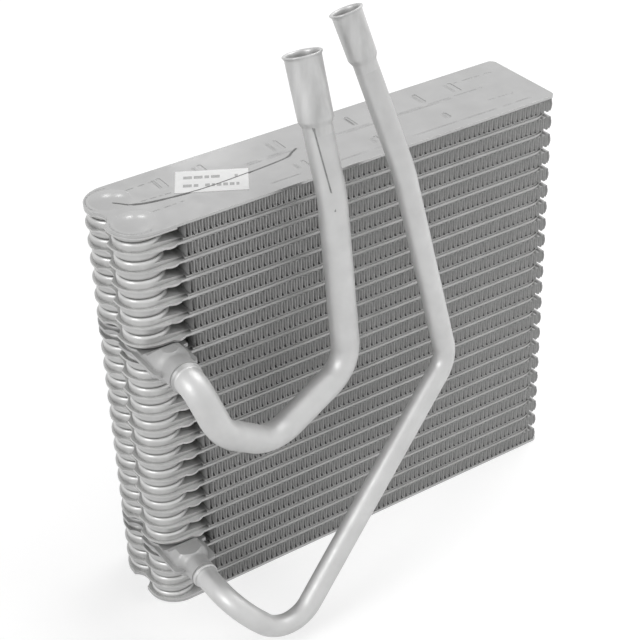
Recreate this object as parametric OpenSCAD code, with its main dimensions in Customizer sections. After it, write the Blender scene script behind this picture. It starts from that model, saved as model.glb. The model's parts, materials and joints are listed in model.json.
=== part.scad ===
// Laminated plate-and-fin evaporator core with two refrigerant pipes.
// Flow tubes run along X and stack along Z. The tank end, with its two rows of cups, is at -X.
// The pipes leave towards -Y. The origin is the middle of the underside of the bottom end plate.

/* [Core] */
// Number of flow tubes in the stack
tube_count = 21; // [20:1:21]
// Distance from one flow tube to the next
tube_pitch = 11.2; // [10.8:0.1:11.6]
// Outside thickness of a flow tube
tube_h = 3.2; // [2.8:0.1:3.6]
// Sheet thickness of the flow tube plates
plate_t = 0.6; // [0.5:0.05:0.7]
// Depth of the core, along the air flow
core_d = 58; // [56:1:64]
// Length of the core beside its tank end
core_l = 243; // [230:1:250]
// Radius of the flow tube corners at the end away from the tank
tube_end_r = 13; // [8:1:16]
// Width of the brazed rim along the finned part
rim_w = 0.8; // [0.6:0.1:1.2]
// Width of the rib that parts the two passes inside a flow tube
divider_w = 3; // [2:0.5:5]
// Free length at the far end of that rib, where the flow turns round
turn_l = 18; // [12:1:26]

/* [Fins] */
// Thickness of the fin sheet
fin_t = 0.2; // [0.15:0.05:0.3]
// Length of one full fin wave
fin_wave = 3.375; // [3.2:0.025:4.2]
// Length of the flat on each crest of a wave
fin_crest = 1.1; // [0.8:0.05:1.3]
// Distance of the fin edge behind the rim of the flow tubes
fin_setback = 0.6; // [0.3:0.1:1.2]
// Distance of the first fin wave from the tank end
fin_start = 3; // [2:0.5:4]

/* [Tank] */
// Length of the tank end
tank_l = 31; // [30.5:0.5:34]
// Radius of the outer corners of the tank end
tank_r = 17; // [14:0.5:17.5]
// Distance of the cups' middle from the side of the tank end that meets the core
cup_x = 16.5; // [15.5:0.25:16.75]
// Distance of the cups' middle from the middle of the core
cup_y = 13.6; // [13.2:0.1:14.2]
// Outer radius of a cup
cup_r = 12.7; // [11.5:0.1:12.8]
// Rounding of a cup's shoulder
cup_shoulder_r = 2; // [1:0.25:2.5]
// Radius of the port between neighbouring cups
port_r = 7.5; // [6:0.25:8.5]
// Depth of the notch between the two lobes
notch_d = 4.6; // [4:0.2:5]
// Half width of that notch
notch_half_w = 8; // [7:0.25:8.5]
// Width of the rim between the cups and the fins
neck_rim_w = 2.8; // [2:0.1:3.4]
// Radius of the locating tab on that rim
tab_r = 6; // [5:0.5:7]
// Height by which the tab stands proud of the rim
tab_proud = 1.4; // [0.8:0.1:2]

/* [End plates] */
// Sheet thickness of the end plates
end_t = 1.6; // [1.2:0.1:2]
// Length by which an end plate passes the fins
end_over = 1.7; // [0.5:0.1:3]
// Radius of the end plates' corners away from the tank
end_corner_r = 4; // [2:0.5:6]
// Radius of the shallow dome over each cup
dome_r = 11; // [9:0.2:12]
// Height of that dome
dome_h = 1.2; // [0.8:0.1:1.6]
// Length of the pressed stiffening beads in the rear row
bead_l = 12; // [10:0.5:14]
// Length of those in the front row
bead_front_l = 7; // [5:0.5:9]
// Width of those beads
bead_w = 2.4; // [1.6:0.2:3.2]
// Depth of those beads
bead_d = 0.3; // [0.2:0.05:0.5]
// Distance from one bead to the next
bead_pitch = 47; // [44:1:50]

/* [Manifolds] */
// Level of the suction manifold, counted in flow tubes below it
suction_level = 15; // [13:1:16]
// Level of the liquid manifold, counted in flow tubes below it
liquid_level = 3; // [3:1:6]
// Sheet thickness of the manifold shells
shell_t = 1; // [0.8:0.05:1.1]
// Width of the flat duct that leaves the tank
duct_w = 21; // [19:0.5:22]
// Width of the rim along both sides of the duct
duct_rim_w = 2.4; // [1.8:0.2:3]
// Length of the duct's rim in front of the core
spout_rim_l = 17; // [14:0.5:19]
// Distance from the front of the core to the mouth of the spout
spout_l = 24.6; // [23:0.2:27]
// Length of the round socket at the mouth
socket_l = 8; // [6:0.5:9]
// Gap all round between a pipe and its socket
socket_gap = 0.05; // [0.05:0.01:0.1]
// Height of a shell above its rim plane, between two cups
manifold_h = 2.4; // [2:0.1:2.6]

/* [Pipes] */
// Outside diameter of the suction pipe
suction_od = 15.9; // [15.5:0.1:16.3]
// Outside diameter of the liquid pipe
liquid_od = 12.7; // [12.3:0.1:13.1]
// Wall of both pipes
pipe_t = 1; // [0.8:0.1:1.2]
// Length of the bell on the suction pipe
suction_bell_l = 42; // [30:1:46]
// Length of the bell on the liquid pipe
liquid_bell_l = 33; // [24:1:38]
// Length of the cone that widens a pipe to its bell
bell_cone_l = 8; // [5:0.5:11]
// Gap all round between a bell and the pipe of the same size that enters it
bell_gap = 0.1; // [0.05:0.05:0.2]
// Width of a bell's flared lip
lip_w = 1.5; // [1:0.1:2]
// Height of that lip
lip_h = 1.8; // [1.2:0.1:2.4]
// Height of the stop bead on each pipe, outside its socket
stop_h = 1.2; // [0.8:0.1:1.2]
// Length of that bead
stop_l = 3; // [2:0.5:3]

/* [Label] */
// Length of the paper label on the top end plate
label_l = 38.5; // [34:0.5:42]
// Width of the label
label_w = 23; // [20:0.5:25]
// Thickness of the label
label_t = 0.2; // [0.1:0.05:0.3]

/* [Hidden] */
$fn = 64;

// Main places
core_h = (tube_count + 1) * tube_pitch;
fin_h = tube_pitch - tube_h;
fin_x0 = -core_l / 2;
tank_x0 = fin_x0 - tank_l;
cup_cx = fin_x0 - cup_x;
front_y = -core_d / 2;
cup_h = tube_pitch / 2;
rim_t = 2 * plate_t;
spout_x = cup_cx;
mouth_y = front_y - spout_l;
suction_z = (suction_level + 0.5) * tube_pitch;
liquid_z = (liquid_level + 0.5) * tube_pitch;
neck_h = cup_h - manifold_h - 0.2;
foot_x = fin_x0 + fin_start - 1;
cap_t = 1;
tab_x = fin_x0 - 5.5;
bead_x0 = -0.05 * core_l;
label_x = fin_x0 + 36;
spout_taper_l = 6;
bend_swell = 0.04;
leg_overlap = 0.4;
suction_mouth_r = suction_od / 2 + socket_gap + shell_t;
liquid_mouth_r = liquid_od / 2 + socket_gap + shell_t;

// Depth of the cut that makes a cavity break through, and of every other clean cut
eps = 0.01;

// Bends of the pipes: the corners of each centre line, from its mouth on, and a radius for each.
// The first leg leaves its manifold straight towards the front.
suction_mouth = [spout_x, mouth_y, suction_z];
suction_route = [
    suction_mouth,
    suction_mouth + [0, -10, 0],
    [-130, -73.5, 146],
    [-95.5, -64, 119.5],
    [-39.3, -53.8, 141],
    [-43.8, -50.8, 246],
    [-45, -29, 318.6]
];
suction_bends = [9.5, 20, 28, 21, 34];
liquid_mouth = [spout_x, mouth_y, liquid_z];
liquid_route = [
    liquid_mouth,
    liquid_mouth + [0, -34, 0],
    [-108, -93.5, 5.2],
    [21.8, -63.2, 126],
    [-2.8, -56, 251],
    [-17.8, -28, 334]
];
liquid_bends = [20, 22, 18, 34];

alu = [0.80, 0.80, 0.79];
alu_dark = [0.66, 0.66, 0.66];
alu_bright = [0.86, 0.86, 0.86];
paper = [0.93, 0.93, 0.90];

function unit(v) = v / norm(v);
function tube_z(k) = k * tube_pitch;

// Outline of a plate, drawn in by a margin, with a radius on the corners away from the tank
module plate_outline(margin, end_r, over = 0) {
    x0 = tank_x0 + margin;
    x1 = -fin_x0 + over - margin;
    y1 = core_d / 2 - margin;
    r0 = tank_r - margin;
    r1 = end_r - margin;
    translate([x0 + r0, -y1]) square([x1 - r1 - x0 - r0, 2 * y1]);
    translate([x0, r0 - y1]) square([tank_r, 2 * (y1 - r0)]);
    translate([0, r1 - y1]) square([x1, 2 * (y1 - r1)]);
    for (side = [-1, 1]) {
        translate([x0 + r0, side * (y1 - r0)]) circle(r = r0);
        translate([x1 - r1, side * (y1 - r1)]) circle(r = r1);
    }
}

// Gap between the lobes of the tank end
module notch_cut() {
    r = (notch_half_w * notch_half_w + notch_d * notch_d) / (2 * notch_d);
    translate([tank_x0 + notch_d - r, 0]) circle(r = r);
}

// Both lobes of the tank, up to the fins
module tank_outline() {
    difference() {
        intersection() {
            plate_outline(0, tube_end_r);
            translate([tank_x0 - 1, -core_d]) square([tank_l, 2 * core_d]);
        }
        notch_cut();
    }
}

// One cup on either side of the middle, closed above, with a rounded shoulder
module cups(r, height, shoulder) {
    for (side = [-1, 1]) translate([cup_cx, side * cup_y, 0]) rotate_extrude() {
        square([r - shoulder, height]);
        square([r, height - shoulder]);
        translate([r - shoulder, height - shoulder]) circle(r = shoulder);
    }
}

// Ports through both cups, from the rim plane up
module ports(height) {
    for (side = [-1, 1]) translate([cup_cx, side * cup_y, -eps]) cylinder(r = port_r, h = height + 1);
}

// Upper half of a flow tube's form, drawn in by the sheet thickness for the passages
module tube_half(inset, cup_top) {
    wall = rim_w + inset;
    neck_w = core_d / 2 - neck_rim_w - inset;
    rib = divider_w / 2 + inset;
    low = tube_h / 2 - inset;
    linear_extrude(low) intersection() {
        plate_outline(wall, tube_end_r);
        translate([foot_x + 2 * inset, -core_d]) square([2 * core_l, 2 * core_d]);
    }
    // The neck climbs from the passages to the cups
    for (side = [0, 1]) mirror([0, side, 0]) translate([0, neck_w, 0]) rotate([90, 0, 0])
        linear_extrude(neck_w - rib) polygon([
            [cup_cx, 0], [foot_x + 2, 0], [foot_x + 2, low],
            [foot_x, low], [cup_cx + cup_r / 2, neck_h - inset], [cup_cx, neck_h - inset]
        ]);
    cups(cup_r - inset, cup_top - inset, cup_shoulder_r - inset / 2);
}

// Half of a flow tube's plates: rim, tabs, passages and cups
module tube_plate(cup_top) {
    difference() {
        union() {
            linear_extrude(rim_t / 2) difference() {
                union() {
                    plate_outline(0, tube_end_r);
                    for (side = [-1, 1])
                        translate([tab_x, side * (core_d / 2 + tab_proud - tab_r)]) circle(r = tab_r);
                }
                notch_cut();
            }
            tube_half(0, cup_top);
        }
        difference() {
            translate([0, 0, -eps]) tube_half(plate_t, cup_top + eps);
            // The rib between the passages, down to the mating plane
            translate([tank_x0, -divider_w / 2, -1])
                cube([tank_l + core_l - turn_l, divider_w, tube_h / 2 + 1 - plate_t / 2]);
        }
        ports(cup_top);
    }
}

// A flow tube: two plates brazed rim to rim. Its cups are lower where a manifold lies between.
module flow_tube(k) {
    above = (k == suction_level || k == liquid_level) ? manifold_h : 0;
    below = (k == suction_level + 1 || k == liquid_level + 1) ? manifold_h : 0;
    color(alu) translate([0, 0, tube_z(k)]) {
        tube_plate(cup_h - above);
        mirror([0, 0, 1]) tube_plate(cup_h - below);
    }
}

// A corrugated fin: one sheet folded into steep waves with flat crests
module fin(k) {
    length = core_l - fin_start;
    waves = floor(length / fin_wave);
    half = length / (2 * waves);
    edge = fin_t / 2 * (1 - (half - fin_crest) / (fin_h - fin_t));
    outer = fin_crest / 2 + edge;
    inner = fin_crest / 2 - edge;
    upper = [for (i = [0:2 * waves]) each i % 2 == 0
        ? [[max(i * half - inner, 0), fin_t - fin_h / 2], [min(i * half + inner, length), fin_t - fin_h / 2]]
        : [[i * half - outer, fin_h / 2], [i * half + outer, fin_h / 2]]];
    lower = [for (i = [2 * waves:-1:0]) each i % 2 == 0
        ? [[min(i * half + outer, length), -fin_h / 2], [max(i * half - outer, 0), -fin_h / 2]]
        : [[i * half + inner, fin_h / 2 - fin_t], [i * half - inner, fin_h / 2 - fin_t]]];
    depth = core_d / 2 - rim_w - fin_setback;
    color(alu_dark) translate([fin_x0 + fin_start, depth, tube_z(k - 0.5)]) rotate([90, 0, 0])
        linear_extrude(2 * depth) polygon(concat(upper, lower));
}

// A shallow bead pressed across an end plate
module bead(step, y, length) {
    translate([bead_x0 + step * bead_pitch, y, 0]) {
        translate([0, 0, 0.5]) cube([bead_w, length - bead_w, 1 + 2 * bead_d], center = true);
        for (end = [-1, 1]) translate([0, end * (length - bead_w) / 2, -bead_d])
            cylinder(d = bead_w, h = 1 + bead_d);
    }
}

// Both rows of beads
module beads() {
    for (step = [-2.03, -1.5, -0.5, 0.5, 1.5, 2.03]) bead(step, core_d / 4 - 1, bead_l);
    for (step = [-0.5, 0.5, 1.5]) bead(step, 2 - core_d / 4, bead_front_l);
}

// End plate lying on its outer face's plane, without domes
module end_plate() {
    difference() {
        translate([0, 0, -end_t]) linear_extrude(end_t) difference() {
            plate_outline(0, end_corner_r, end_over);
            notch_cut();
        }
        beads();
    }
}

// The top end plate, with a shallow dome over each cup
module top_end_plate() {
    dome_sphere = (dome_r * dome_r + dome_h * dome_h) / (2 * dome_h);
    color(alu_bright) translate([0, 0, core_h]) difference() {
        union() {
            end_plate();
            for (side = [-1, 1]) intersection() {
                translate([cup_cx, side * cup_y, dome_h - dome_sphere]) sphere(r = dome_sphere);
                translate([cup_cx, side * cup_y, -end_t / 2]) cylinder(r = dome_r + 1, h = end_t + dome_h);
            }
        }
        for (side = [-1, 1])
            translate([cup_cx, side * cup_y, dome_h - dome_sphere]) sphere(r = dome_sphere - end_t);
    }
}

module bottom_end_plate() {
    color(alu_bright) mirror([0, 0, 1]) end_plate();
}

// Shallow pan that closes both ends of the tank under an end plate, its rim towards the plate
module tank_cap() {
    height = cup_h - end_t;
    difference() {
        union() {
            linear_extrude(cap_t) tank_outline();
            cups(cup_r, height, cup_shoulder_r);
        }
        translate([0, 0, -eps]) cups(cup_r - cap_t, height - cap_t + eps, cup_shoulder_r / 2);
        ports(height);
    }
}

module top_tank_cap() {
    color(alu) translate([0, 0, core_h - end_t]) mirror([0, 0, 1]) tank_cap();
}

module bottom_tank_cap() {
    color(alu) translate([0, 0, end_t]) tank_cap();
}

// Upper half of a manifold's duct and spout: a round body whose top follows the gap between the
// flow tubes and rises in front of the core
module duct_half(inset, mouth_r) {
    back = core_d / 2 - cup_y + 1;
    throat = core_d / 2 - cup_y - cup_r;
    under_rim = cup_h - rim_t / 2 - 0.6;
    rise_s = tab_proud + 1;
    crown = mouth_r + 0.6;
    s1 = spout_l - socket_l;
    s0 = s1 - spout_taper_l;
    w0 = duct_w / 2;
    intersection() {
        translate([spout_x, front_y, 0]) rotate([90, 0, 0]) rotate_extrude() polygon(concat(
            [[0, -back], [w0 - inset, -back]],
            [for (i = [0:6]) [
                (w0 + mouth_r) / 2 + (w0 - mouth_r) / 2 * cos(30 * i) - inset,
                s0 + spout_taper_l * i / 6
            ]],
            [[mouth_r - inset, spout_l + inset], [0, spout_l + inset]]
        ));
        translate([spout_x - duct_w, front_y, 0]) rotate([90, 0, 90]) linear_extrude(2 * duct_w) polygon([
            [back, -1], [back, manifold_h - inset], [throat, manifold_h - inset],
            [0, under_rim - inset], [-rise_s, under_rim - inset],
            [-rise_s - crown + under_rim, crown - inset], [-spout_l - 2, crown - inset],
            [-spout_l - 2, -1]
        ]);
    }
}

// One shell of a manifold, its rim plane at the bottom
module manifold_shell(mouth_r) {
    side_w = duct_w / 2 + duct_rim_w;
    corner = 1.3 * duct_rim_w;
    difference() {
        union() {
            translate([0, 0, -1]) linear_extrude(shell_t + 1) {
                tank_outline();
                translate([spout_x - side_w, front_y - spout_rim_l + corner])
                    square([2 * side_w, core_d / 2 - cup_y / 2 + spout_rim_l - corner]);
                translate([spout_x - side_w + corner, front_y - spout_rim_l])
                    square([2 * (side_w - corner), spout_rim_l]);
                for (side = [-1, 1])
                    translate([spout_x + side * (side_w - corner), front_y - spout_rim_l + corner])
                        circle(r = corner);
            }
            cups(cup_r, manifold_h, shell_t);
            duct_half(0, mouth_r);
        }
        translate([0, 0, -eps]) cups(cup_r - shell_t, manifold_h - shell_t + eps, shell_t / 2);
        duct_half(shell_t, mouth_r);
        ports(manifold_h);
        // Everything under the rim plane belongs to the other shell
        translate([tank_x0 - 5, front_y - spout_l - 5, -5]) cube([tank_l + 10, core_d + spout_l + 10, 5]);
    }
}

module suction_manifold_upper() {
    color(alu) translate([0, 0, suction_z]) manifold_shell(suction_mouth_r);
}

module suction_manifold_lower() {
    color(alu) translate([0, 0, suction_z]) mirror([0, 0, 1]) manifold_shell(suction_mouth_r);
}

module liquid_manifold_upper() {
    color(alu) translate([0, 0, liquid_z]) manifold_shell(liquid_mouth_r);
}

module liquid_manifold_lower() {
    color(alu) translate([0, 0, liquid_z]) mirror([0, 0, 1]) manifold_shell(liquid_mouth_r);
}

// Legs and bends of a pipe's centre line
function leg(route, i) = unit(route[i + 1] - route[i]);
function turn(route, i) = acos(leg(route, i - 1) * leg(route, i));
function run_in(route, bends, i) =
    i == 0 || i == len(route) - 1 ? 0 : bends[i - 1] * tan(turn(route, i) / 2);

// Puts children at a point, with their Z axis along a direction
module along(point, dir) {
    translate(point) rotate([0, acos(dir.z), atan2(dir.y, dir.x)]) children();
}

// A round bar that follows a route, longer at each end by a lead and a tail. Its bends are drawn
// a hair wider than its legs, which run a little way into them.
module bent_bar(route, bends, r, lead, tail) {
    last = len(route) - 1;
    for (i = [0:last - 1]) {
        dir = leg(route, i);
        from = run_in(route, bends, i) - (i == 0 ? lead : 0);
        to = norm(route[i + 1] - route[i]) - run_in(route, bends, i + 1) + (i == last - 1 ? tail : 0);
        near = i == 0 ? 0 : leg_overlap;
        far = i == last - 1 ? 0 : leg_overlap;
        along(route[i] + dir * (from - near), dir) cylinder(r = r, h = to - from + near + far);
    }
    for (i = [1:last - 1]) {
        v = leg(route, i - 1);
        inward = unit(leg(route, i) - v * (v * leg(route, i)));
        centre = route[i] - v * run_in(route, bends, i) + inward * bends[i - 1];
        u = -inward;
        w = cross(u, v);
        translate(centre) rotate([atan2(v.z, w.z), -asin(u.z), atan2(u.y, u.x)])
            rotate_extrude(angle = turn(route, i)) translate([bends[i - 1], 0]) circle(r = r + bend_swell);
    }
}

// A pipe with a stop bead outside its socket, which ends where its bell begins
module pipe(route, bends, od, bell_l) {
    difference() {
        union() {
            bent_bar(route, bends, od / 2, socket_l, -bell_l);
            along(route[0], leg(route, 0)) rotate_extrude() {
                square([od / 2 + stop_h, stop_l - stop_h]);
                translate([od / 2, stop_l - stop_h]) circle(r = stop_h);
            }
        }
        bent_bar(route, bends, od / 2 - pipe_t, socket_l + 1, 1 - bell_l);
    }
}

// The bell brazed to a pipe's free end: a cone, a bore for the next pipe and a flared lip
module bell(route, od, bell_l) {
    last = len(route) - 1;
    dir = leg(route, last - 1);
    bore = od / 2 + bell_gap;
    bell_r = bore + pipe_t;
    lip_r = lip_h / 2;
    along(route[last] - dir * bell_l, dir) rotate_extrude() difference() {
        union() {
            polygon([[0, 0], [od / 2, 0], [bell_r, bell_cone_l], [bell_r, bell_l], [0, bell_l]]);
            translate([0, bell_l - lip_h]) square([bell_r + lip_w - lip_r, lip_h]);
            translate([bell_r + lip_w - lip_r, bell_l - lip_r]) circle(r = lip_r);
        }
        polygon([
            [-1, -1], [od / 2 - pipe_t, -1], [od / 2 - pipe_t, 0],
            [bore, bell_cone_l], [bore, bell_l + 1], [-1, bell_l + 1]
        ]);
    }
}

module suction_pipe() {
    color(alu_bright) pipe(suction_route, suction_bends, suction_od, suction_bell_l);
}

module liquid_pipe() {
    color(alu_bright) pipe(liquid_route, liquid_bends, liquid_od, liquid_bell_l);
}

module suction_bell() {
    color(alu_bright) bell(suction_route, suction_od, suction_bell_l);
}

module liquid_bell() {
    color(alu_bright) bell(liquid_route, liquid_od, liquid_bell_l);
}

module label() {
    color(paper) translate([label_x, 0, core_h]) rotate([0, 0, -30])
        translate([-label_l / 2, -label_w / 2, 0]) cube([label_l, label_w, label_t]);
}

top_end_plate();
bottom_end_plate();
flow_tube(1);  // flow_tube_01
flow_tube(2);  // flow_tube_02
flow_tube(3);  // flow_tube_03
flow_tube(4);  // flow_tube_04
flow_tube(5);  // flow_tube_05
flow_tube(6);  // flow_tube_06
flow_tube(7);  // flow_tube_07
flow_tube(8);  // flow_tube_08
flow_tube(9);  // flow_tube_09
flow_tube(10);  // flow_tube_10
flow_tube(11);  // flow_tube_11
flow_tube(12);  // flow_tube_12
flow_tube(13);  // flow_tube_13
flow_tube(14);  // flow_tube_14
flow_tube(15);  // flow_tube_15
flow_tube(16);  // flow_tube_16
flow_tube(17);  // flow_tube_17
flow_tube(18);  // flow_tube_18
flow_tube(19);  // flow_tube_19
flow_tube(20);  // flow_tube_20
flow_tube(21);  // flow_tube_21
fin(1);  // fin_01
fin(2);  // fin_02
fin(3);  // fin_03
fin(4);  // fin_04
fin(5);  // fin_05
fin(6);  // fin_06
fin(7);  // fin_07
fin(8);  // fin_08
fin(9);  // fin_09
fin(10);  // fin_10
fin(11);  // fin_11
fin(12);  // fin_12
fin(13);  // fin_13
fin(14);  // fin_14
fin(15);  // fin_15
fin(16);  // fin_16
fin(17);  // fin_17
fin(18);  // fin_18
fin(19);  // fin_19
fin(20);  // fin_20
fin(21);  // fin_21
fin(22);  // fin_22
top_tank_cap();
bottom_tank_cap();
suction_manifold_upper();
suction_manifold_lower();
liquid_manifold_upper();
liquid_manifold_lower();
suction_pipe();
liquid_pipe();
suction_bell();
liquid_bell();
label();
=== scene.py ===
"""Evaporator core on a pale floor. Materials, detailed pipes and fins, light and camera."""
import json
import math
import random
from collections import namedtuple

import bmesh
import bpy
from mathutils import Matrix, Vector


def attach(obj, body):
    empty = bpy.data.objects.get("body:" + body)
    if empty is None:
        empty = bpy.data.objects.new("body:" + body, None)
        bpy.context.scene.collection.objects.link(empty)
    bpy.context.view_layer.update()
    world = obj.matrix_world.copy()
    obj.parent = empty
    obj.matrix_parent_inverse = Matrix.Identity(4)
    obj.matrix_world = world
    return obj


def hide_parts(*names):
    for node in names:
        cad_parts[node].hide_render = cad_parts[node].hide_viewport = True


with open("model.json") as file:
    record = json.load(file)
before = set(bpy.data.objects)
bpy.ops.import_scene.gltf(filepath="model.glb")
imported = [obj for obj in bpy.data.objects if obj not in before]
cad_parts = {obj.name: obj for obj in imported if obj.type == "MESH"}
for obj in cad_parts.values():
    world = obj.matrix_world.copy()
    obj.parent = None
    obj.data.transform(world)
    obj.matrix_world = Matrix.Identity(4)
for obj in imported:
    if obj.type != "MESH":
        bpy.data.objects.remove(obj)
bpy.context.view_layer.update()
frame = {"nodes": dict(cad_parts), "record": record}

MM = 0.001
WHITE = (1, 1, 1, 1)

# Camera: place, aim and roll of the photograph's view
CAMERA_AT = (-0.4382, -0.6625, 0.6556)
CAMERA_AIM = (0.44267, 0.70454, -0.55468)
CAMERA_ROLL = -2.103
CAMERA_LENS = 91.52

# The core's main sizes, in metres, as in the part's source
PITCH = 0.0112
TUBES = 21
CORE_L = 0.243
CORE_D = 0.058
CORE_H = (TUBES + 1) * PITCH

# The fins: their ends along X, half of their depth and height, and the waves of their foil
FIN_X0 = -CORE_L / 2 + 0.003
FIN_X1 = CORE_L / 2
FIN_DEPTH = CORE_D / 2 - 0.0004
FIN_HALF = 0.004
FIN_WAVES = 71

# The foil's thickness, half of a fold's flat, and the last leg's place and bulge
FOIL = 0.14 * MM
FOLD_HALF = 0.78 * MM
LAST_FOLD_BACK = 0.9 * MM
LAST_LEG_BULGE = 1.35 * MM

# How far a fold strays from its place, and from row to row, in millimetres
FOLD_DRIFT = 0.05
FOLD_SKEW = 0.03

# Where painted shade darkens the tubes along X: by the fins, at the tank's left, and in the gaps between
# necks
FINS_BEGIN = (-0.122, -0.112)
TANK_LEFT = (-0.151, -0.140)
GAP_X = -0.1212

# The pipes: how finely they are drawn, their wall, and how far they reach into the duct
RING_POINTS = 40
LEG_STEPS = 12
WALL = 1.0 * MM
IN_SOCKET = 7 * MM

# Shares of a bend's squeeze: at its inner and outer side, and as a gain in width
INNER_SQUEEZE = 1.25
OUTER_SQUEEZE = 0.75
SPREAD = 0.08

# The bells: the cone's ends from the bell's foot, the socket over the pipe, and what it opens by
BELL_STEPS = 8
CONE_FROM = 4 * MM
CONE_TO = 8 * MM
CLEARANCE = 0.1 * MM
SOCKET_OVER = 1.1 * MM
FLARE = 0.35 * MM
MOUTH_FLARE = 0.3 * MM
LIP_LENGTH = 4 * MM
LIP_BACK = 0.3 * MM

# The lines of painted shade on the top end plate: their height, and the width of a bead's edge and of a
# seam
LINE_HEIGHT = 0.03 * MM
BEAD_LINE = 0.6 * MM
SEAM_LINE = 0.8 * MM

# Places on the top end plate, in millimetres and degrees: the domes over the cups, and the label
CUP_X = -138
CUP_Y = 13.6
RIM_RADIUS = 12.9
DOME_RADIUS = 11
DOME_HEIGHT = 1.2
LABEL_X = -85.5
LABEL_TURN = -30
LABEL_REACH = 19.8

# Heights over the plate in millimetres: the label's print, and the pen stroke on and off the label
PRINT_LIFT = 0.23
INK_ON_LABEL = 0.26
INK_ON_PLATE = 0.08


def make_camera():
    data = bpy.data.cameras.new("camera")
    data.lens = CAMERA_LENS
    data.sensor_width = 36
    data.clip_start = 0.01
    data.clip_end = 20
    camera = bpy.data.objects.new("camera", data)
    bpy.context.scene.collection.objects.link(camera)
    aim = Vector(CAMERA_AIM).to_track_quat("-Z", "Y").to_matrix().to_4x4()
    roll = Matrix.Rotation(math.radians(CAMERA_ROLL), 4, "Z")
    camera.matrix_world = Matrix.Translation(CAMERA_AT) @ aim @ roll
    bpy.context.scene.camera = camera


class Nodes:
    """Short helpers for the node tree of a material or a world."""

    def __init__(self, owner):
        owner.use_nodes = True
        self.owner = owner
        self.tree = owner.node_tree
        self.shader = self.tree.nodes.get("Principled BSDF")

    def add(self, kind, **inputs):
        node = self.tree.nodes.new(kind)
        for key, value in inputs.items():
            node.inputs[key.replace("_", " ")].default_value = value
        return node

    def link(self, source, target):
        self.tree.links.new(source, target)

    def paint(self, tone, metal, rough):
        """The surface's tone, as a link, and its plain values."""
        self.link(tone, self.shader.inputs["Base Color"])
        self.shader.inputs["Metallic"].default_value = metal
        self.shader.inputs["Roughness"].default_value = rough

    def coords(self, kind="Object"):
        return self.add("ShaderNodeTexCoord").outputs[kind]

    def along(self, axis, kind="Object"):
        """One axis of a point's place, or of its normal."""
        split = self.add("ShaderNodeSeparateXYZ")
        self.link(self.coords(kind), split.inputs[0])
        return split.outputs[axis]

    def noise(self, scale, detail=3.0, stretch=None):
        node = self.add("ShaderNodeTexNoise", Scale=scale, Detail=detail)
        source = self.coords()
        if stretch:
            mapping = self.add("ShaderNodeMapping", Scale=stretch)
            self.link(source, mapping.inputs["Vector"])
            source = mapping.outputs["Vector"]
        self.link(source, node.inputs["Vector"])
        return node.outputs["Fac"]

    def ramp(self, fac, stops):
        """A slightly warm grey that runs through stops of place and tone."""
        node = self.add("ShaderNodeValToRGB")
        for element, (at, grey) in zip(node.color_ramp.elements, stops):
            element.position = at
            element.color = (grey, grey, grey * 0.995, 1)
        self.link(fac, node.inputs["Fac"])
        return node.outputs["Color"]

    def span(self, value, marks, first, last):
        """A value that runs evenly from first to last between two marks, and stays level outside them."""
        low, high = marks
        node = self.add("ShaderNodeMapRange", From_Min=low, From_Max=high, To_Min=first, To_Max=last)
        self.link(value, node.inputs["Value"])
        return node.outputs["Result"]

    def multiply(self, a, b):
        node = self.add("ShaderNodeVectorMath")
        node.operation = "MULTIPLY"
        self.link(a, node.inputs[0])
        self.link(b, node.inputs[1])
        return node.outputs[0]

    def math(self, kind, a, b=None, c=None):
        node = self.add("ShaderNodeMath")
        node.operation = kind
        for slot, value in enumerate((a, b, c)):
            if value is None:
                continue
            if isinstance(value, (int, float)):
                node.inputs[slot].default_value = value
            else:
                self.link(value, node.inputs[slot])
        return node.outputs[0]

    def bump(self, height, strength):
        node = self.add("ShaderNodeBump", Strength=strength, Distance=0.2 * MM)
        self.link(height, node.inputs["Height"])
        self.link(node.outputs["Normal"], self.shader.inputs["Normal"])
        return node

    def soften(self, radius):
        """Rounded edges in the shading, for sharp folds of thin sheet."""
        node = self.add("ShaderNodeBevel", Radius=radius)
        node.samples = 4
        return node.outputs["Normal"]

    def seen(self):
        """1 for the camera and for what metal or glass shows, 0 for light that falls on the object."""
        path = self.add("ShaderNodeLightPath")
        direct = self.math("MAXIMUM", path.outputs["Is Camera Ray"], path.outputs["Is Glossy Ray"])
        return self.math("MAXIMUM", direct, path.outputs["Is Transmission Ray"])


def paint_tube_shade(m, tone):
    """Painted shade on the tubes: darker between the fins, in the recesses, at the tank's left, in the
    gaps between necks and on faces that look down; faces that look up are painted lighter.
    """
    x = m.along("X")
    # painted shade on the tubes between the fins
    tone = m.multiply(tone, m.span(x, FINS_BEGIN, 1.0, 0.8))
    # painted shade in the recesses, from ambient occlusion
    recess = m.add("ShaderNodeAmbientOcclusion", Distance=6 * MM)
    recess.samples = 4
    # painted shade in the recesses at the tank's left and in the gaps between necks
    left = m.span(x, TANK_LEFT, 0.15, 0.0)
    gap = m.math("MULTIPLY_ADD", m.math("ABSOLUTE", m.math("SUBTRACT", x, GAP_X)), -70.0, 0.36)
    deep = m.math("ADD", left, m.math("MAXIMUM", gap, 0.0))
    shade = m.math("SUBTRACT", recess.outputs["AO"], deep)
    tone = m.multiply(tone, m.ramp(shade, [(0.12, 0.2), (0.7, 1.0)]))
    # painted light from above: faces that look up lighter, faces that look down darker
    return m.multiply(tone, m.span(m.along("Z", "Normal"), (-0.7, 0.6), 0.56, 1.26))


def dull_pipes(m, tone):
    """Darkens the tone towards the bells, where the pipes were heated for brazing."""
    return m.multiply(tone, m.span(m.along("Z"), (0.22, 0.285), 1.0, 0.87))


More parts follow.
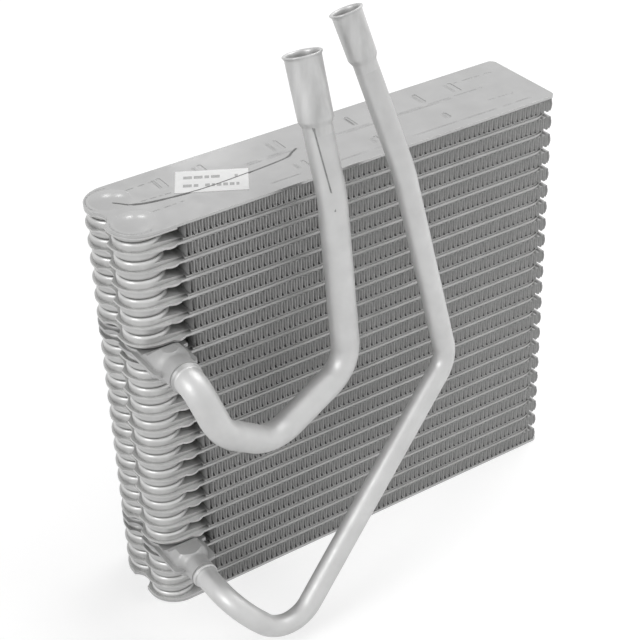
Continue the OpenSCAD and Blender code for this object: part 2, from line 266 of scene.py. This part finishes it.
def aluminium(name, dark, light, rough, metal, cloud, grain=0.1, dent=1.0, stretch=None, shade_and_stain=None):
    """Satin aluminium with cloudy tone, fine grain, small dents and an uneven gloss.

    cloud is the scale of the clouds, stretch draws them out, and the last argument is a function that
    darkens places: painted shade on the tubes, a brazing stain on the pipes.
    """
    m = Nodes(bpy.data.materials.new(name))
    tone = m.ramp(m.noise(cloud, 4.0, stretch), [(0.3, dark), (0.7, light)])
    m.paint(shade_and_stain(m, tone) if shade_and_stain else tone, metal, rough)
    gloss = m.noise(cloud * 3, 2.0)
    m.link(m.ramp(gloss, [(0.25, rough - 0.07), (0.75, rough + 0.08)]), m.shader.inputs["Roughness"])
    fine = m.math("MULTIPLY", m.noise(1400.0, 2.0), grain)
    dents = m.math("MULTIPLY", m.noise(cloud * 1.7, 2.0), dent)
    bump = m.bump(m.math("ADD", fine, dents), 0.5)
    m.link(m.soften(0.3 * MM), bump.inputs["Normal"])
    return m.owner


def fin_metal():
    """Bare fin sheet, greyer, with a louvre every millimetre across each leg, painted shade along each
    louvre, and painted shade on its first stretch by the tank.
    """
    m = Nodes(bpy.data.materials.new("fin_aluminium"))
    louvre = m.math("ABSOLUTE", m.math("SINE", m.math("MULTIPLY", m.along("Y"), 3200.0)))
    tone = m.ramp(m.noise(700.0), [(0.3, 0.49), (0.7, 0.61)])
    # painted shade along each louvre
    tone = m.multiply(tone, m.ramp(louvre, [(0.1, 0.86), (0.5, 1.0)]))
    # painted shade on the fin's first stretch, in the dark hole by the tank
    tone = m.multiply(tone, m.span(m.along("X"), (FIN_X0, FIN_X0 + 4 * MM), 0.4, 1.0))
    m.paint(tone, 0.2, 0.5)
    m.bump(louvre, 0.25)
    return m.owner


def matt(name, dark, light, rough, grain):
    """Paper or ink, with a slightly uneven tone."""
    m = Nodes(bpy.data.materials.new(name))
    m.paint(m.ramp(m.noise(grain), [(0.3, dark), (0.7, light)]), 0.0, rough)
    return m.owner


MATERIALS = {
    "tube_aluminium": aluminium(
        "tube_aluminium", 0.60, 0.70, rough=0.36, metal=0.35, cloud=90.0, grain=0.05, shade_and_stain=paint_tube_shade),
    "fin_aluminium": fin_metal(),
    "plate_aluminium": aluminium(
        "plate_aluminium", 0.46, 0.51, rough=0.18, metal=0.6, cloud=45.0, grain=0.02, dent=0.2),
    "pipe_aluminium": aluminium(
        "pipe_aluminium", 0.63, 0.70, rough=0.46, metal=0.5, cloud=70.0, grain=0.02, dent=0.5,
        shade_and_stain=dull_pipes),
    "label_paper": matt("label_paper", 0.84, 0.9, rough=0.6, grain=300.0),
}
# dark aluminium for painted shade: lines along the beads, seams, ribs and rims of the top end plate
PRESS_SHADE = aluminium("press_shade_aluminium", 0.26, 0.36, rough=0.5, metal=0.3, cloud=400.0)
# dark aluminium for a painted reflection on the suction pipe
DARK_REFLECTION = aluminium("dark_reflection_aluminium", 0.22, 0.36, rough=0.5, metal=0.3, cloud=300.0)
BELL = aluminium(
    "bell_aluminium", 0.50, 0.66, rough=0.42, metal=0.5, cloud=160.0, grain=0.02, dent=0.4,
    stretch=(1, 1, 0.15))
DUCT = aluminium("duct_aluminium", 0.46, 0.54, rough=0.45, metal=0.35, cloud=90.0, grain=0.05)
INK = matt("marker_ink", 0.08, 0.18, rough=0.5, grain=900.0)
PALE_INK = matt("pale_ink", 0.36, 0.55, rough=0.5, grain=900.0)


def dress_frame():
    """The CAD nodes' own materials. The two manifolds are darker than the tubes."""
    slots = {s["node"]: s["material_slot"] for s in frame["record"]["subparts"]}
    for node, obj in frame["nodes"].items():
        obj.data.materials.clear()
        obj.data.materials.append(DUCT if "manifold" in node else MATERIALS[slots[node]])


def make_piece(name, mesh, slot, node=None, smooth=True, material=None):
    """A new piece on the fixed body, which may stand for a CAD node."""
    obj = bpy.data.objects.new(name, mesh)
    bpy.context.scene.collection.objects.link(obj)
    mesh.materials.append(material or MATERIALS[slot])
    if smooth:
        mesh.shade_smooth()
    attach(obj, "root")
    if node:
        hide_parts(node)
    return obj


def grid_mesh(name, rows, closed=False):
    """A mesh from rows of points, joined row to row; closed joins each row's ends."""
    verts = [p for row in rows for p in row]
    n = len(rows[0])
    faces = []
    for r in range(len(rows) - 1):
        for c in range(n if closed else n - 1):
            d = (c + 1) % n
            faces.append((r * n + c, r * n + d, (r + 1) * n + d, (r + 1) * n + c))
    mesh = bpy.data.meshes.new(name)
    mesh.from_pydata(verts, [], faces)
    return mesh


def fold_places(rng):
    """Where one sheet's folds stand along X. They crowd a little, and the last one is set back."""
    last = 2 * FIN_WAVES
    half = (FIN_X1 - FIN_X0) / last
    drift = 0.0
    places = []
    for i in range(last + 1):
        drift = 0.8 * drift + rng.uniform(-FOLD_DRIFT, FOLD_DRIFT) * MM
        place = FIN_X0 + i * half
        if 0 < i < last:
            place += drift + rng.uniform(-FOLD_DRIFT, FOLD_DRIFT) * MM
        elif i == last:
            place -= LAST_FOLD_BACK
        places.append(place)
    return places


def fin_row(rng, places, y, z0):
    """The sheet's section at one depth, fold by fold. Its last leg is rounded."""
    last = len(places) - 1
    row = []
    for i, x in enumerate(places):
        up = 1 if i % 2 else -1
        skew = rng.uniform(-FOLD_SKEW, FOLD_SKEW) * MM if 0 < i < last else 0
        if i == last:
            for lift in (0.6, 0.2, -0.2, -0.6):
                bulge = LAST_LEG_BULGE * (1 - lift * lift)
                row.append((x - FOLD_HALF + bulge, y, z0 + lift * FIN_HALF))
        for across, drop in ((-1, 0.5), (-0.6, 0.05), (0.6, 0.05), (1, 0.5)):
            if (i == 0 and across < 0) or (i == last and across > 0):
                continue
            row.append((x + skew + across * FOLD_HALF, y, z0 + up * (FIN_HALF - drop * MM)))
    return row


def make_fins():
    """One sheet per fin, with legs that lean and crowd a little as folded foil does."""
    rng = random.Random(4)
    for k in range(1, TUBES + 2):
        places = fold_places(rng)
        z0 = (k - 0.5) * PITCH
        rows = [fin_row(rng, places, FIN_DEPTH * (step / 2 - 1), z0) for step in range(5)]
        mesh = grid_mesh("fin_sheet", rows)
        obj = make_piece("fin_sheet_%02d" % k, mesh, "fin_aluminium", "fin_%02d" % k)
        sheet = obj.modifiers.new("sheet", "SOLIDIFY")
        sheet.thickness = FOIL
        sheet.offset = 0


Sample = namedtuple("Sample", "place heading inward share gone")


class Path:
    """A pipe's centre line: straight legs and round bends, sampled with a frame that doesn't twist.

    A sample holds its place and heading, the way to the bend's centre, its share of the bend's squeeze
    (0 at the bend's ends, 1 at its middle) and the length so far.
    """

    def __init__(self, points, bends, stops):
        pts = [Vector(p) * MM for p in points]
        legs = [(b - a).normalized() for a, b in zip(pts, pts[1:])]
        runs = [0.0]
        for bend, leg, ahead in zip(bends, legs, legs[1:]):
            runs.append(bend * MM * math.tan(leg.angle(ahead) / 2))
        runs.append(0.0)
        self.samples = []
        self.length = 0.0
        for i, leg in enumerate(legs):
            start = pts[i] + leg * runs[i]
            length = (pts[i + 1] - pts[i]).length - runs[i] - runs[i + 1]
            self.add_leg(start, leg, length, stops if i == 0 else [])
            if i < len(bends):
                self.add_bend(start + leg * length, leg, legs[i + 1], bends[i] * MM)
        self.make_frames()

    def add_leg(self, start, heading, length, stops):
        marks = [length * n / LEG_STEPS for n in range(LEG_STEPS + 1)]
        for d in sorted(marks + stops):
            place = start + heading * d
            self.samples.append(Sample(place, heading, Vector((0, 0, 0)), 0.0, self.length + d))
        self.length += length

    def add_bend(self, start, heading, ahead, radius):
        angle = heading.angle(ahead)
        axis = heading.cross(ahead).normalized()
        inward = axis.cross(heading)
        centre = start + inward * radius
        count = max(6, int(math.degrees(angle) / 4))
        for n in range(1, count):
            turn = Matrix.Rotation(angle * n / count, 3, axis)
            place = centre - turn @ inward * radius
            share = math.sin(math.pi * n / count) ** 0.8
            gone = self.length + radius * angle * n / count
            self.samples.append(Sample(place, turn @ heading, turn @ inward, share, gone))
        self.length += radius * angle

    def make_frames(self):
        before = self.samples[0].heading
        across = before.orthogonal().normalized()
        self.frames = []
        for sample in self.samples:
            across = before.rotation_difference(sample.heading) @ across
            across = (across - sample.heading * across.dot(sample.heading)).normalized()
            before = sample.heading
            self.frames.append((across, sample.heading.cross(across)))

    def ring(self, index, radius, squeeze=0.0, shift=0.0):
        """Points round the pipe at a sample, or a shift ahead of it. A bend is flattened, and wider."""
        place, heading, inward, share, gone = self.samples[index]
        a, b = self.frames[index]
        row = []
        for n in range(RING_POINTS):
            angle = 2 * math.pi * n / RING_POINTS
            off = (a * math.cos(angle) + b * math.sin(angle)) * radius
            if share:
                depth = off.dot(inward)
                off -= inward * depth * squeeze * share * (INNER_SQUEEZE if depth > 0 else OUTER_SQUEEZE)
                wide = heading.cross(inward)
                off += wide * off.dot(wide) * squeeze * SPREAD * share
            row.append(place + heading * shift + off)
        return row

    def end_ring(self, back, radius):
        """Points round the pipe's last leg, at a distance back from its end."""
        return self.ring(len(self.samples) - 1, radius, shift=-back)


# The two pipes in millimetres: diameter, bell's length, the route's corners and a bend radius for each
SUCTION = dict(
    pipe="suction_pipe", end="suction_bell", od=15.9, bell=42.0, squeeze=0.09,
    points=[(-138, -53.6, 173.6), (-138, -63.6, 173.6), (-130, -73.5, 146), (-95.5, -64, 119.5),
            (-39.3, -53.8, 141), (-43.8, -50.8, 246), (-45, -29, 318.6)],
    bends=[9.5, 20, 28, 21, 34])
LIQUID = dict(
    pipe="liquid_pipe", end="liquid_bell", od=12.7, bell=33.0, squeeze=0.07,
    points=[(-138, -53.6, 39.2), (-138, -87.6, 39.2), (-108, -93.5, 5.2), (21.8, -63.2, 126),
            (-2.8, -56, 251), (-17.8, -28, 334)],
    bends=[20, 22, 18, 34])

# The stop bead: distance from the pipe's start, and height over the pipe, in millimetres
BEAD = ((0.1, 0.0), (0.7, 0.7), (1.4, 1.1), (2.1, 1.2), (2.7, 1.0), (3.2, 0.45))

# The rolled lip: distance back from the mouth, and height over the bell, in millimetres
LIP = ((3.0, 0.66), (2.2, 0.68), (1.6, 0.82), (1.2, 1.1), (0.9, 1.4), (0.6, 1.5), (0.35, 1.5),
       (0.12, 1.4), (0.0, 1.2), (0.0, 0.8), (0.12, 0.2), (0.5, -0.15), (1.2, -0.33), (2.4, -0.35))


def bead_height(gone):
    """How far the stop bead stands out, at a distance from the pipe's start."""
    for at, height in BEAD:
        if abs(gone - at * MM) < 1e-7:
            return height * MM
    return 0.0


def make_pipe(spec):
    """A drawn pipe with a stop bead at its socket and eased bends, and the bell on its end."""
    path = Path(spec["points"], spec["bends"], [at * MM for at, height in BEAD])
    outer = spec["od"] / 2 * MM
    inner = outer - WALL
    bell = spec["bell"] * MM
    outside = [path.ring(0, outer, shift=-IN_SOCKET)]
    inside = [path.ring(0, inner, shift=-IN_SOCKET)]
    for index, sample in enumerate(path.samples):
        if sample.gone > path.length - bell - 1 * MM and sample.share == 0:
            continue
        outside.append(path.ring(index, outer + bead_height(sample.gone), spec["squeeze"]))
        inside.append(path.ring(index, inner, spec["squeeze"]))
    outside.append(path.end_ring(bell + 0.05 * MM, outer))
    outside.append(path.end_ring(bell, outer))
    inside.append(path.end_ring(bell, inner))
    tube_piece(spec["pipe"], outside + inside[::-1])
    make_bell(path, spec["end"], outer, bell)
    return path


def make_bell(path, node, outer, bell):
    """A pipe's widened end: an eased cone, a socket that opens a little, and a rolled lip."""
    inner = outer - WALL
    socket = outer + SOCKET_OVER
    bore = outer + CLEARANCE
    outside = [path.end_ring(bell, outer), path.end_ring(bell - 0.05 * MM, outer)]
    inside = [path.end_ring(bell, inner)]
    for n in range(BELL_STEPS + 1):
        f = n / BELL_STEPS
        ease = f * f * (3 - 2 * f)
        back = bell - CONE_FROM - (CONE_TO - CONE_FROM) * f
        outside.append(path.end_ring(back, outer + (socket + FLARE - outer) * ease))
        inside.append(path.end_ring(back, inner + (bore + FLARE - inner) * ease))
    for n in range(1, BELL_STEPS + 1):
        f = n / BELL_STEPS
        back = (bell - CONE_TO) * (1 - f) + LIP_LENGTH * f
        wider = FLARE + MOUTH_FLARE * f
        outside.append(path.end_ring(back, socket + wider))
        inside.append(path.end_ring(back, bore + wider))
    rim = [path.end_ring(back * MM + LIP_BACK, socket + over * MM) for back, over in LIP]
    tube_piece(node, outside + rim + inside[::-1], BELL)


def tube_piece(node, rows, material=None):
    """A closed skin through rings of points, in place of a node."""
    mesh = grid_mesh(node + "_drawn", rows + [rows[0]], closed=True)
    bm = bmesh.new()
    bm.from_mesh(mesh)
    bmesh.ops.remove_doubles(bm, verts=bm.verts, dist=1e-7)
    bmesh.ops.recalc_face_normals(bm, faces=bm.faces)
    bm.to_mesh(mesh)
    bm.free()
    make_piece(node + "_drawn", mesh, "pipe_aluminium", node, material=material)


def make_painted_reflection(path, radius):
    """Painted reflection of the top plate's edge on the pipe: a dark mark at the bell's foot and a fine
    dark line that runs down from it, on the side facing the camera.
    """
    reflection_foot = path.length - 82 * MM
    bell_foot = path.length - 42 * MM
    mark_foot = path.length - 38.5 * MM
    samples = [sample for sample in path.samples if reflection_foot < sample.gone < bell_foot]
    end = path.samples[-1]
    for back in (41 * MM, 39.5 * MM, 38 * MM, 36.5 * MM, 35 * MM):
        samples.append(end._replace(place=end.place - end.heading * back, gone=path.length - back))
    rows = []
    for place, heading, inward, share, gone in samples:
        out = Vector((-0.53, -0.85, 0))
        out = (out - heading * out.dot(heading)).normalized()
        across = heading.cross(out)
        lean = 1.2 * MM * (1 - 2 * (gone - reflection_foot) / (39 * MM))
        wide = 0.75 * MM if gone > mark_foot else 0.42 * MM
        spot = place + out * (radius * (1 - 0.12 * share) + 0.05 * MM)
        rows.append([tuple(spot + across * (lean + turn * wide)) for turn in (-1, 0, 1)])
    make_piece("pipe_painted_reflection", grid_mesh("pipe_painted_reflection", rows), "pipe_aluminium", material=DARK_REFLECTION)


def left_of(points, i):
    """The way to the left of a line on the plate, at one of its points."""
    before = Vector(points[max(i - 1, 0)])
    after = Vector(points[min(i + 1, len(points) - 1)])
    ahead = (after - before).normalized()
    return Vector((-ahead.y, ahead.x, 0))


def smooth_line(points, count):
    """Points on a smooth curve through the given ones."""
    pts = [Vector(p) for p in points]
    out = []
    for n in range(count):
        t = n / (count - 1) * (len(pts) - 1)
        i = min(int(t), len(pts) - 2)
        f = t - i
        a, b = pts[max(i - 1, 0)], pts[i]
        c, d = pts[i + 1], pts[min(i + 2, len(pts) - 1)]
        square = 2 * a - 5 * b + 4 * c - d
        cube = 3 * b - a - 3 * c + d
        q = 0.5 * (2 * b + (c - a) * f + square * f * f + cube * f ** 3)
        out.append((q.x, q.y))
    return out


def plate_line(name, points, width):
    """A low rounded line of painted shade on the top end plate, thinner at its ends. Its points are in
    millimetres.
    """
    rows = []
    for i, (x, y) in enumerate(points):
        side = left_of(points, i)
        taper = 0.4 if i in (0, len(points) - 1) else 1.0
        row = []
        for across, up in ((-1, -0.05), (-0.6, 0.7), (0, 1), (0.6, 0.7), (1, -0.05)):
            q = Vector((x, y, 0)) * MM + side * across * width / 2 * taper
            row.append((q.x, q.y, CORE_H + up * LINE_HEIGHT * taper))
        rows.append(row)
    make_piece(name, grid_mesh(name, rows), "plate_aluminium", material=PRESS_SHADE)


def make_beads():
    """The shaded side of each pressed bead: two short lines beside it, along the plate's depth."""
    bead_rows = (
        ("rear", (-109, -85, -39, 12, 58.5, 81.6), 8, 19),
        ("front", (-39.3, 10, 58.6), -16, -10),
    )
    for row, places, first, last in bead_rows:
        for n, x in enumerate(places):
            for tenths in (24, 12):
                line = [(x - tenths / 10, first + (last - first) * i / 5) for i in range(6)]
                plate_line("bead_%s_%d_%d" % (row, n, tenths), line, BEAD_LINE)


def make_seams():
    """Painted shade along the seams, ribs and rims pressed in the top end plate, as dark lines that break
    here and there.
    """
    lines = {
        "seam_front": [(-62, -21), (-20, -21.3), (48, -22), (84, -22.6), (110, -22.8)],
        "rib_rear": [(-62, 5), (-20, 5), (40, 4.6), (80, 4), (96, 3.6)],
        "rib_front": [(-62, 3.3), (-20, 3.3), (40, 3), (76, 2.7)],
        "field_rear": [(-127, 17.6), (-118, 17.8), (-110.5, 17.8)],
        "field_middle": [(-126, 2.6), (-115, 2), (-108.6, 1.5)],
        "field_front": [(-126, -10.2), (-116, -10.1), (-107, -9.7)],
        "panel_rear": [(85.7, 17.6), (99, 17.2), (113, 16.6)],
        "panel_front": [(88.4, -11.5), (97, -12), (105.6, -12.5)],
    }
    for name, y, first, last in (("front", -CUP_Y, 155, 285), ("rear", CUP_Y, 75, 205)):
        turns = [math.radians(first + (last - first) * n / 12) for n in range(13)]
        arc = [(RIM_RADIUS * math.cos(a), RIM_RADIUS * math.sin(a)) for a in turns]
        lines["rim_" + name] = [(CUP_X + u, y + v) for u, v in arc]
    rng = random.Random(7)
    for name, points in lines.items():
        line = smooth_line(points, 12 * len(points))
        count = 0
        while len(line) > 3:
            take = rng.randint(4, 12)
            plate_line("plate_%s_%d" % (name, count), line[:take], SEAM_LINE)
            line = line[take + rng.randint(0, 3):]
            count += 1


def stroke_width(x):
    """The pen stroke's width in millimetres: broad at first, then thin, and broader at its end."""
    if -131 < x < -118:
        return 1.7
    if -118 < x < -108:
        return 1.7 - 0.09 * (x + 118)
    return 1.3 if x > -40 else 0.8


def stroke_lift(x, y):
    """The stroke's height over the plate in millimetres, which climbs the label and the rear dome."""
    turn = math.radians(LABEL_TURN)
    along_label = (x - LABEL_X) * math.cos(turn) + y * math.sin(turn)
    lift = INK_ON_LABEL if abs(along_label) < LABEL_REACH else INK_ON_PLATE
    away = math.hypot(x - CUP_X, y - CUP_Y) / DOME_RADIUS
    if away < 1:
        lift += DOME_HEIGHT * (1 - away * away)
    return lift


def make_stroke():
    """The dark curved pen stroke over the plate and its label."""
    drawn = [(-139.3, 8.6), (-131, 2.4), (-122.2, -1), (-106, -3.6), (-90.7, -4.8), (-66, -4.0),
             (-41.8, -1.9), (-35, 1.6), (-30.3, 4.3)]
    line = smooth_line(drawn, 60)
    rows = []
    for i, (x, y) in enumerate(line):
        wide = 0.5 if i in (0, len(line) - 1) else stroke_width(x)
        off = left_of(line, i) * wide / 2
        z = CORE_H + stroke_lift(x, y) * MM
        rows.append([((x + off.x) * MM, (y + off.y) * MM, z), ((x - off.x) * MM, (y - off.y) * MM, z)])
    make_piece("ink_stroke", grid_mesh("ink_stroke", rows), "label_paper", material=INK)


def make_label_print():
    """Two rows of plain grey bars on the label, in millimetres along and across it."""
    rng = random.Random(11)
    turn = Matrix.Rotation(math.radians(LABEL_TURN), 4, "Z")
    home = Matrix.Translation((LABEL_X * MM, 0, CORE_H + PRINT_LIFT * MM)) @ turn
    row_end = 14.0
    half_height = 1.5
    verts = []
    faces = []
    for middle in (4.2, -4.6):
        x = -15.0
        low = middle - half_height
        high = middle + half_height
        while x < row_end:
            length = rng.choice((1.6, 2.4, 2.4, 4.6))
            if rng.random() > 0.18:
                first = len(verts)
                for u, v in ((x, low), (x + length, low), (x + length, high), (x, high)):
                    verts.append(home @ Vector((u * MM, v * MM, 0)))
                faces.append((first, first + 1, first + 2, first + 3))
            x += length + 1.0
    mesh = bpy.data.meshes.new("label_bars")
    mesh.from_pydata(verts, [], faces)
    make_piece("label_bars", mesh, "label_paper", smooth=False, material=PALE_INK)


def make_stage():
    """A white floor that keeps the object's soft shadow."""
    bpy.ops.mesh.primitive_plane_add(size=8, location=(0, 0, -0.5 * MM))
    floor = bpy.context.object
    floor.name = "floor"
    m = Nodes(bpy.data.materials.new("floor_white"))
    m.shader.inputs["Base Color"].default_value = (0.5, 0.5, 0.5, 1)
    m.shader.inputs["Roughness"].default_value = 0.9
    m.shader.inputs["Emission Color"].default_value = WHITE
    away = m.add("ShaderNodeVectorMath")
    away.operation = "LENGTH"
    m.link(m.coords(), away.inputs[0])
    # brighter far away, where the lamps don't reach
    glow = m.span(away.outputs["Value"], (0.5, 2.0), 0.6, 0.82)
    m.link(m.math("MULTIPLY", m.seen(), glow), m.shader.inputs["Emission Strength"])
    floor.data.materials.append(m.owner)


def make_world():
    """Soft light from all round, and a white background for the camera and for what metal shows."""
    world = bpy.data.worlds.new("studio")
    bpy.context.scene.world = world
    w = Nodes(world)
    w.tree.nodes.clear()
    soft = w.add("ShaderNodeBackground", Color=WHITE, Strength=0.42)
    white = w.add("ShaderNodeBackground", Color=WHITE, Strength=1.0)
    mix = w.add("ShaderNodeMixShader")
    out = w.add("ShaderNodeOutputWorld")
    w.link(w.seen(), mix.inputs["Fac"])
    w.link(soft.outputs[0], mix.inputs[1])
    w.link(white.outputs[0], mix.inputs[2])
    w.link(mix.outputs[0], out.inputs["Surface"])


def area_light(name, at, aim, size, power, mirrored=True):
    """A round lamp turned to a point. One that isn't mirrored leaves no bright patch on metal."""
    data = bpy.data.lights.new(name, "AREA")
    data.shape = "DISK"
    data.size = size
    data.energy = power
    light = bpy.data.objects.new(name, data)
    bpy.context.scene.collection.objects.link(light)
    light.location = at
    light.rotation_euler = (Vector(aim) - Vector(at)).to_track_quat("-Z", "Y").to_euler()
    light.visible_glossy = mirrored


def make_lamps():
    """Three broad lamps, and two small ones whose reflections are the spots on the plate's domes."""
    middle = (0, 0, 0.12)
    domes = (-0.13, 0, 0.24)
    area_light("key", (0.75, 0.15, 1.4), middle, 1.2, 9.5)
    area_light("fill", (1.0, -0.8, 0.9), middle, 0.7, 6, mirrored=False)
    area_light("left_fill", (-1.2, -0.3, 0.8), (-0.1, 0, 0.12), 0.6, 5)
    area_light("window_left", (0.366, 1.26, 0.79), domes, 0.09, 0.06)
    area_light("window_right", (0.52, 1.17, 0.83), domes, 0.09, 0.06)


bpy.context.scene.view_settings.view_transform = "Standard"
make_camera()
dress_frame()
make_fins()
suction_path = make_pipe(SUCTION)
# a painted reflection of the top plate's edge on the suction pipe
make_painted_reflection(suction_path, SUCTION["od"] / 2 * MM)
make_pipe(LIQUID)
make_beads()
make_seams()
make_stroke()
make_label_print()
make_stage()
make_world()
make_lamps()
